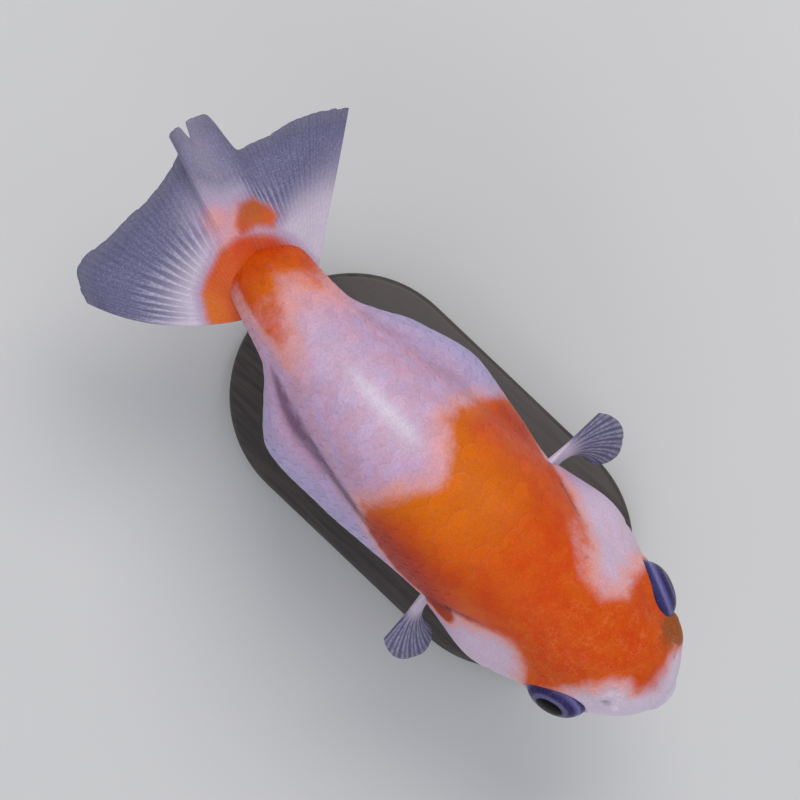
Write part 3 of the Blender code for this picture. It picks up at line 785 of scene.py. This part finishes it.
TAIL_WHITE = (  # share of the way from left lobe to right, and how far from its root a fin is white there
    (0.0, 0.8), (0.04, 0.74), (0.1, 0.64), (0.18, 0.54), (0.3, 0.42), (0.38, 0.52), (0.5, 0.62),
    (0.6, 0.85), (0.65, 1.0), (0.69, 0.6), (0.8, 0.56), (0.96, 0.52), (1.0, 0.7),
)
COLLAR = (  # corners of the orange about the tail's root, mm to the left of and behind the snout
    (9.3, 74.0), (9.2, 75.9), (9.5, 78.5), (8.9, 80.7), (7.2, 82.9), (5.2, 84.1), (2.1, 84.2),
    (-1.5, 83.1), (-3.4, 82.3), (-5.4, 79.5), (-5.7, 78.4), (-2.9, 75.6), (0.0, 73.0),
)
CREST_FOOT = (  # and of the one at the foot of the crest
    (8.7, 86.6), (10.6, 86.1), (11.4, 83.8), (11.2, 82.0), (9.6, 81.3), (8.2, 83.1), (5.5, 83.6),
    (6.3, 85.1),
)
CREST_NOTCH = 0.513  # how far over the tail, from left to right, its crest is split at the edge
NOTCH_DEPTH, NOTCH_BREADTH = 0.11, 0.014
BRANCH_SPREAD, BRANCH_BREADTH = 0.22, 0.14  # of a ray's two branches, as shares of the way between rays
UNEVEN_TIPS, SCALLOPS = 0.01, 0.012  # by how much rays, and the film between them, stop short

fin_look, tree, shader = new_material("Goldfish fin")
colours = coloured(tree, ragged=0.5)
count, along, shown = kept(tree, "fin_across"), kept(tree, "fin_along"), kept(tree, "ray_show")
off_ray = calculated(tree, "ABSOLUTE", calculated(tree, "SUBTRACT", calculated(tree, "FRACT", count), 0.5))
split = stepped(tree, along, 0.4, 0.7, 0.0, BRANCH_SPREAD)
off_branch = calculated(tree, "ABSOLUTE", calculated(tree, "SUBTRACT", off_ray, split))
on_ray = stepped(tree, off_branch, 0.04, 0.24, 1.0, 0.0)
patchy = stepped(tree, mottle(tree, 0.5, 3.0), 0.35, 0.65, 0.45, 1.0)
stipple = mottle(tree, 0.22, 3.0)
fleshy = calculated(tree, "MAXIMUM", kept(tree, "fin_white"), colours.outputs["Orange"])
between = calculated(tree, "SUBTRACT", 1.0, calculated(tree, "MAXIMUM", on_ray, fleshy))
film = layered(
    tree,
    paint(87, 84, 120),
    (mottle(tree, 3.0), paint(110, 107, 143)),
    (stepped(tree, stipple, 0.5, 0.72, 0.0, 0.6), paint(150, 148, 180)),
    (stepped(tree, stipple, 0.28, 0.5, 0.6, 0.0), paint(72, 69, 106)),
    (stepped(tree, along, 0.7, 1.0, 0.0, 0.4), paint(78, 76, 114)),
    (kept(tree, "film_depth"), paint(66, 64, 100)),
    (product(tree, on_ray, patchy, shown), paint(194, 192, 220)),
    (fleshy, colours.outputs["Color"]),
    (product(tree, between, shown, 0.45), paint(76, 74, 118)),
)
clear = product(tree, stepped(tree, along, 0.8, 1.0), calculated(tree, "SUBTRACT", 1.0, fleshy))
ridges = calculated(tree, "ADD", on_ray, colours.outputs["Grain"])
feed(tree, shader, {
    "Base Color": film,
    "Alpha": stepped(tree, clear, 0.0, 1.0, 1.0, 0.72),
    "Roughness": 0.45,
    "Coat Weight": 0.1,
    "Normal": bump(tree, ridges, 0.08, 0.06),
})


def direction(heading, sweep, rise):
    """Unit vectors that leave straight back by sweep degrees to the left and rise degrees upwards."""
    turn, lift = heading + np.radians(sweep), np.radians(rise)
    return np.stack((np.sin(turn) * np.cos(lift), np.cos(turn) * np.cos(lift), np.sin(lift)), axis=-1)


def fin_points(rays, side, across, along, stalk=0.0, drop=0.0):
    """Points of a fin's middle sheet, in mm. Across runs over its guide rays, along from root to edge."""
    table = np.array(rays, float)
    place = np.linspace(0.0, 1.0, len(table))
    station, angle, leave, sweep, rise, length = (
        monotone_curve(place, column, across)[..., None] for column in table.T
    )
    heading = spine_heading(station[..., 0])
    start = direction(heading, side * leave[..., 0], rise[..., 0] - drop)
    end = direction(heading, side * sweep[..., 0], rise[..., 0] - drop)
    root = body_point(station[..., 0], side * angle[..., 0]) - start * FIN_ROOT_DEPTH
    knee = root + start * (FIN_ROOT_DEPTH + (stalk or length / 2))
    tip = knee + end * (length if stalk else length / 2)
    along = along[..., None]
    return root * (1 - along) ** 2 + knee * 2 * along * (1 - along) + tip * along**2


def fin_piece(name, rays, markings, fin_rays, columns_per_ray, rows, side=1, flesh=0.3, fork=0.45,
              notch=None, root_wall=FIN_WALL, **bend):
    """A fin as a walled sheet with its rays, and the numbers that its material reads."""
    bm = bmesh.new()
    bmesh.ops.create_grid(bm, x_segments=fin_rays * columns_per_ray, y_segments=rows, size=0.5)
    grid = np.array([vert.co for vert in bm.verts]) + 0.5
    across, along = grid[:, 0], grid[:, 1]
    count = across * fin_rays
    ray = np.floor(np.minimum(count, fin_rays - 1e-6))
    off_ray = count - ray - 0.5
    ridge = hill(np.abs(off_ray), rising(along, fork, fork + 0.3) * BRANCH_SPREAD, BRANCH_BREADTH)
    ridge = ridge * (1 - 0.75 * rising(along, 0.5, 1.0))
    ridge = ridge * (0.3 + 0.7 * rising(np.minimum(across, 1 - across), 0.02, 0.16))
    wall = (MEMBRANE + RAY_WALL * ridge) * (1 - 0.35 * rising(along, 0.6, 1.0))
    wall += (root_wall - MEMBRANE) * np.clip(1 - along / flesh, 0, 1) ** 1.6
    chance = np.random.RandomState(5).uniform(0, 1, fin_rays)
    trim = UNEVEN_TIPS * chance[ray.astype(int)] + SCALLOPS * off_ray**2
    if notch is not None:
        trim += NOTCH_DEPTH * hill(across, notch, NOTCH_BREADTH)
    reach = along * (1 - trim * rising(along, 0.6, 1.0))
    points = fin_points(rays, side, across, reach, **bend)
    thickness = bm.verts.layers.deform.verify()
    for vert, place, share in zip(bm.verts, SNOUT_TIP + points * MM, wall / FIN_WALL):
        vert.co = place
        vert[thickness][0] = min(1.0, float(share))
    mesh = made_mesh(bm, name)
    keep_on(mesh, {"fin_across": count, "fin_along": along})
    keep_on(mesh, markings(across, along, points))
    obj = new_piece(name, mesh, fin_look)
    obj.vertex_groups.new(name="thickness")
    walled = obj.modifiers.new("wall", "SOLIDIFY")
    walled.thickness = FIN_WALL * MM
    walled.vertex_group = "thickness"
    walled.offset = 0.0
    walled.use_even_offset = False
    return finished(obj)


def tail_markings(across, along, points):
    """Orange on the fleshy collar and at the crest's foot, then pinkish white, then clear membrane."""
    seen = points[:, :2]
    x, y = seen.T
    orange = np.maximum(depth_in_patch(COLLAR, seen), depth_in_patch(CREST_FOOT, seen))
    reach = table_curve(TAIL_WHITE, across)
    white = 0.95 * falling(along, reach * 0.45, reach * 1.2) * (1 - 0.6 * rising(along, 0.4, 0.7))
    white = white * (1 - 0.2 * falling(across, 0.3, 0.45))
    white = np.maximum(white, 0.22 * hill(across, 0.5, 0.09))
    blush = hill(x, 5.0, 3.6) * hill(y, 87.2, 4.0)
    showing = np.maximum(rising(across, 0.66, 0.7), 0.7 * hill(across, 0.33, 0.07))
    return {
        "orange_depth": np.maximum(np.where(orange > 0, 1.3, 2.0) * orange, 5.6 * blush - 6.7),
        "golden": hill(x, -4.0, 3.0) * hill(y, 80.0, 3.5) + 0.5 * hill(x, 9.5, 2.0) * hill(y, 84.0, 2.5),
        "red": 0.35 * hill(x, 8.5, 3.0) * hill(y, 79.0, 3.0),
        "lilac": np.clip(0.9 - blush, 0, 1),
        "pale": 0.85 * rising(-orange, 0.1, 1.9) * (1 - blush),
        "shade": 0.0,
        "rusty": 0.55 * hill(x, 9.6, 3.2) * hill(y, 85.0, 2.6),
        "fin_white": np.maximum(white, 0.8 * blush),
        "ray_show": 0.08 + 0.85 * showing * falling(along, 0.42, 0.7),
        "film_depth": 0.0,
    }


tail = fin_piece("tail_fin", TAIL_RAYS, tail_markings, TAIL_FIN_RAYS, 9, 56, flesh=0.36, fork=0.42,
                 notch=CREST_NOTCH)
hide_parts("tail_lobe_left", "tail_crest", "tail_lobe_right")

# --------------------------------------------------------------------------------
# Paired fins. Two pectoral fins fan out from a stalk of bundled rays behind the gill covers, and two
# pelvic and two anal fins hang under the body. They are made as the tail is.

PECTORAL_BENDS = {"left": {"stalk": 4.8}, "right": {"stalk": 3.9, "drop": 12}}  # in mm and degrees
PECTORAL_RAYS = (  # the same six numbers as the tail's rays, from front to rear
    (32.9, 99, 92, 92, -8, 4.2),
    (32.7, 103, 92, 125, -14, 6.4),
    (32.5, 107, 92, 152, -20, 6.6),
    (32.3, 111, 92, 180, -26, 5.4),
    (32.1, 114, 92, 200, -30, 2.9),
)
PELVIC_RAYS = (
    (40.0, 146, 24, 16, -22, 12.2),
    (42.0, 150, 18, 12, -28, 12.0),
    (44.0, 154, 6, 4, -36, 8.0),
)
ANAL_RAYS = (
    (63.5, 148, -2, -4, -44, 9.0),
    (66.0, 150, -2, -4, -36, 9.0),
    (68.5, 152, -2, -4, -28, 7.0),
)


def white_root(reach):
    """Pinkish white at a fin's root, as far as that share of its length."""

    def markings(across, along, points):
        values = dict.fromkeys(MARKING_NAMES, 0.0)
        values.update(orange_depth=-9.0, lilac=0.8, pale=0.6, ray_show=0.55, film_depth=0.5)
        values["fin_white"] = falling(along, reach * 0.5, reach)
        return values

    return markings


for side, turned in (("left", 1), ("right", -1)):
    pectoral = fin_piece(f"pectoral_rays_{side}", PECTORAL_RAYS, white_root(0.6), 8, 12, 40, turned,
                         flesh=0.55, fork=0.6, root_wall=1.2, **PECTORAL_BENDS[side])
    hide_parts(f"pectoral_fin_{side}")
    pelvic = fin_piece(f"pelvic_rays_{side}", PELVIC_RAYS, white_root(0.4), 9, 9, 40, turned)
    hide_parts(f"pelvic_fin_{side}")
    anal = fin_piece(f"anal_rays_{side}", ANAL_RAYS, white_root(0.4), 8, 9, 36, turned)
    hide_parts(f"anal_fin_{side}")

# --------------------------------------------------------------------------------
# Stand. A flat hardwood board with round ends, stained dark and lacquered, and two brushed steel rods
# with a sleeve of soft cloudy rubber on top to hold the belly. Board and rods are drawn anew in the
# solids' own boxes, so that their rounds are smooth, and the sleeves are drawn over the rods.

BOARD_EDGE, BOARD_END_STEPS = 0.8, 48

low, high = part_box("stand_base")
radius, middle = (high.x - low.x) / 2, (low + high) / 2
reach = (high.y - low.y) / 2 - radius
turns = [math.pi * i / BOARD_END_STEPS for i in range(BOARD_END_STEPS + 1)]
half = [(radius * math.cos(a), reach + radius * math.sin(a)) for a in turns]
outline = half + [(-x, -y) for x, y in half]
bm = bmesh.new()
bottom = bm.faces.new([bm.verts.new((middle.x + x, middle.y + y, low.z)) for x, y in outline])
raised(bm, [bottom], high.z - low.z)
bmesh.ops.recalc_face_normals(bm, faces=bm.faces)
rims = [edge for edge in bm.edges if abs(edge.verts[0].co.z - edge.verts[1].co.z) < 1e-7]
bmesh.ops.bevel(bm, geom=rims, offset=BOARD_EDGE * MM, segments=4, profile=0.5, affect="EDGES")


def streaks(tree, to_a_metre, detail=2.0, distortion=0.0):
    """Noise drawn out into lines, by how many of its clouds go to a metre along each axis."""
    moved = put(tree, "ShaderNodeMapping", {"Vector": object_place(tree), "Scale": to_a_metre})
    values = {"Vector": moved.outputs["Vector"], "Scale": 1.0, "Detail": detail, "Distortion": distortion}
    return put(tree, "ShaderNodeTexNoise", values).outputs["Fac"]


board_look, tree, shader = new_material("Stained board")
wood_grain = streaks(tree, (1400.0, 90.0, 1400.0), 5.0, 0.6)
stain = blended(tree, stepped(tree, wood_grain, 0.3, 0.7), paint(48, 42, 40), paint(76, 68, 64))
worn = stepped(tree, mottle(tree, 12.0), 0.35, 0.7, 0.0, 0.3)
feed(tree, shader, {
    "Base Color": blended(tree, worn, stain, paint(60, 52, 48)),
    "Roughness": stepped(tree, wood_grain, 0.3, 0.7, 0.4, 0.52),
    "Normal": bump(tree, wood_grain, 0.15, 0.05),
})
board = new_piece("display_board", made_mesh(bm, "display_board"), board_look)
finished(board, sharp_angle=40)
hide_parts("stand_base")

TURNED_STEPS = 48


def turned_piece(name, profile, centre, material):
    """A closed piece spun about an upright line from (radius, height) points, the first and last on it."""
    bm = bmesh.new()
    verts = [bm.verts.new((centre.x + radius, centre.y, height)) for radius, height in profile]
    edges = [bm.edges.new(pair) for pair in zip(verts, verts[1:])]
    around = {"cent": (centre.x, centre.y, 0.0), "axis": (0, 0, 1), "angle": math.tau}
    bmesh.ops.spin(bm, geom=edges, steps=TURNED_STEPS, use_merge=True, **around)
    bmesh.ops.remove_doubles(bm, verts=bm.verts, dist=1e-7)
    return finished(new_piece(name, made_mesh(bm, name), material), sharp_angle=40)


steel_look, tree, shader = new_material("Brushed steel")
lines = streaks(tree, (6000.0, 6000.0, 120.0))
feed(tree, shader, {
    "Base Color": blended(tree, lines, paint(168, 170, 174), paint(204, 205, 208)),
    "Roughness": stepped(tree, lines, 0.3, 0.7, 0.22, 0.4),
    "Metallic": 1.0,
    "Normal": bump(tree, lines, 0.15, 0.03),
})

sleeve_look, tree, shader = new_material("Soft clear rubber")
feed(tree, shader, {
    "Base Color": blended(tree, mottle(tree, 0.8), paint(196, 197, 200), paint(214, 215, 217)),
    "Roughness": 0.5,
    "Normal": bump(tree, mottle(tree, 0.25), 0.15, 0.04),
})

ROD_CHAMFER = 0.15 * MM
SLEEVE_LENGTH, SLEEVE_WALL, SLEEVE_LIP = 3.4 * MM, 0.55 * MM, 0.8 * MM
SLEEVE_CAP, SLEEVE_CHAMFER = 0.25 * MM, 0.15 * MM  # what closes it over the rod, and its lower edge
LIP_START, LIP_FULL, LIP_ROUND = 1.4 * MM, 0.7 * MM, 0.3 * MM  # under the sleeve's top
for name in ("front", "rear"):
    low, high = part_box(f"stand_rod_{name}")
    centre, radius = (low + high) / 2, (high.x - low.x) / 2
    shoulder = high.z - ROD_CHAMFER
    profile = (
        (0.0, low.z), (radius, low.z), (radius, shoulder), (radius - ROD_CHAMFER, high.z), (0.0, high.z),
    )
    rod = turned_piece(f"steel_rod_{name}", profile, centre, steel_look)
    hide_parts(f"stand_rod_{name}")
    bottom, top = high.z - SLEEVE_LENGTH, high.z + SLEEVE_CAP
    wall, lip = radius + SLEEVE_WALL, radius + SLEEVE_LIP
    profile = (
        (0.0, bottom), (wall - SLEEVE_CHAMFER, bottom), (wall, bottom + SLEEVE_CHAMFER),
        (wall, top - LIP_START), (lip, top - LIP_FULL), (lip, top - LIP_ROUND), (lip - LIP_ROUND, top),
        (0.0, top),
    )
    turned_piece(f"stand_sleeve_{name}", profile, centre, sleeve_look)

# --------------------------------------------------------------------------------
# Studio. A plain pale floor, a large soft light over the fish's left side, weaker fill all round, and a
# long lens that looks straight down.

FLOOR_SIZE, FLOOR_GAP = 1.6, 0.1 * MM  # the gap keeps the floor clear of the board's underside

bm = bmesh.new()
bmesh.ops.create_grid(bm, x_segments=1, y_segments=1, size=FLOOR_SIZE / 2)
floor_look, tree, shader = new_material("Pale floor")
feed(tree, shader, {
    "Base Color": blended(tree, mottle(tree, 60.0), paint(212, 212, 212), paint(218, 218, 218)),
    "Roughness": 0.8,
})
floor = new_piece("floor", made_mesh(bm, "floor"), floor_look)
floor.location.z = -FLOOR_GAP
floor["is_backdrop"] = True

world = bpy.data.worlds.new("Soft studio")
bpy.context.scene.world = world
world.use_nodes = True
background = world.node_tree.nodes["Background"]
feed(world.node_tree, background, {"Color": (0.93, 0.95, 1.0, 1.0), "Strength": 0.56})


def soft_light(name, place, aim, size, power, colour):
    light = bpy.data.lights.new(name, "AREA")
    light.shape = "DISK"
    light.size, light.energy, light.color = size, power, colour
    lamp = bpy.data.objects.new(name, light)
    lamp.location = place
    lamp.rotation_euler = (Vector(aim) - Vector(place)).to_track_quat("-Z", "Y").to_euler()
    bpy.context.scene.collection.objects.link(lamp)


middle = Vector((0.0, 0.0, 0.045))
soft_light("key", (0.3, 0.12, 0.62), middle, 0.35, 1.7, (1.0, 0.98, 0.95))
soft_light("fill", (-0.4, -0.35, 0.4), middle, 0.5, 0.6, (0.92, 0.95, 1.0))

VIEW_CENTRE = (4.5, 53.15)  # mm to the left of and behind the snout's tip
VIEW_WIDTH, VIEW_TURN = 106.6 * MM, -46.5  # at the fish's level, and in degrees
CAMERA_HEIGHT, SENSOR_WIDTH = 0.62, 36.0

camera_data = bpy.data.cameras.new("camera")
camera_data.sensor_width = SENSOR_WIDTH
camera_data.lens = SENSOR_WIDTH * (CAMERA_HEIGHT - SNOUT_TIP[2]) / VIEW_WIDTH
camera = bpy.data.objects.new("camera", camera_data)
camera.location = (*(SNOUT_TIP[:2] + np.array(VIEW_CENTRE) * MM), CAMERA_HEIGHT)
camera.rotation_euler = (0.0, 0.0, math.radians(VIEW_TURN))
bpy.context.scene.collection.objects.link(camera)
bpy.context.scene.camera = camera
bpy.context.scene.view_settings.view_transform = "Standard"

low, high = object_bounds()
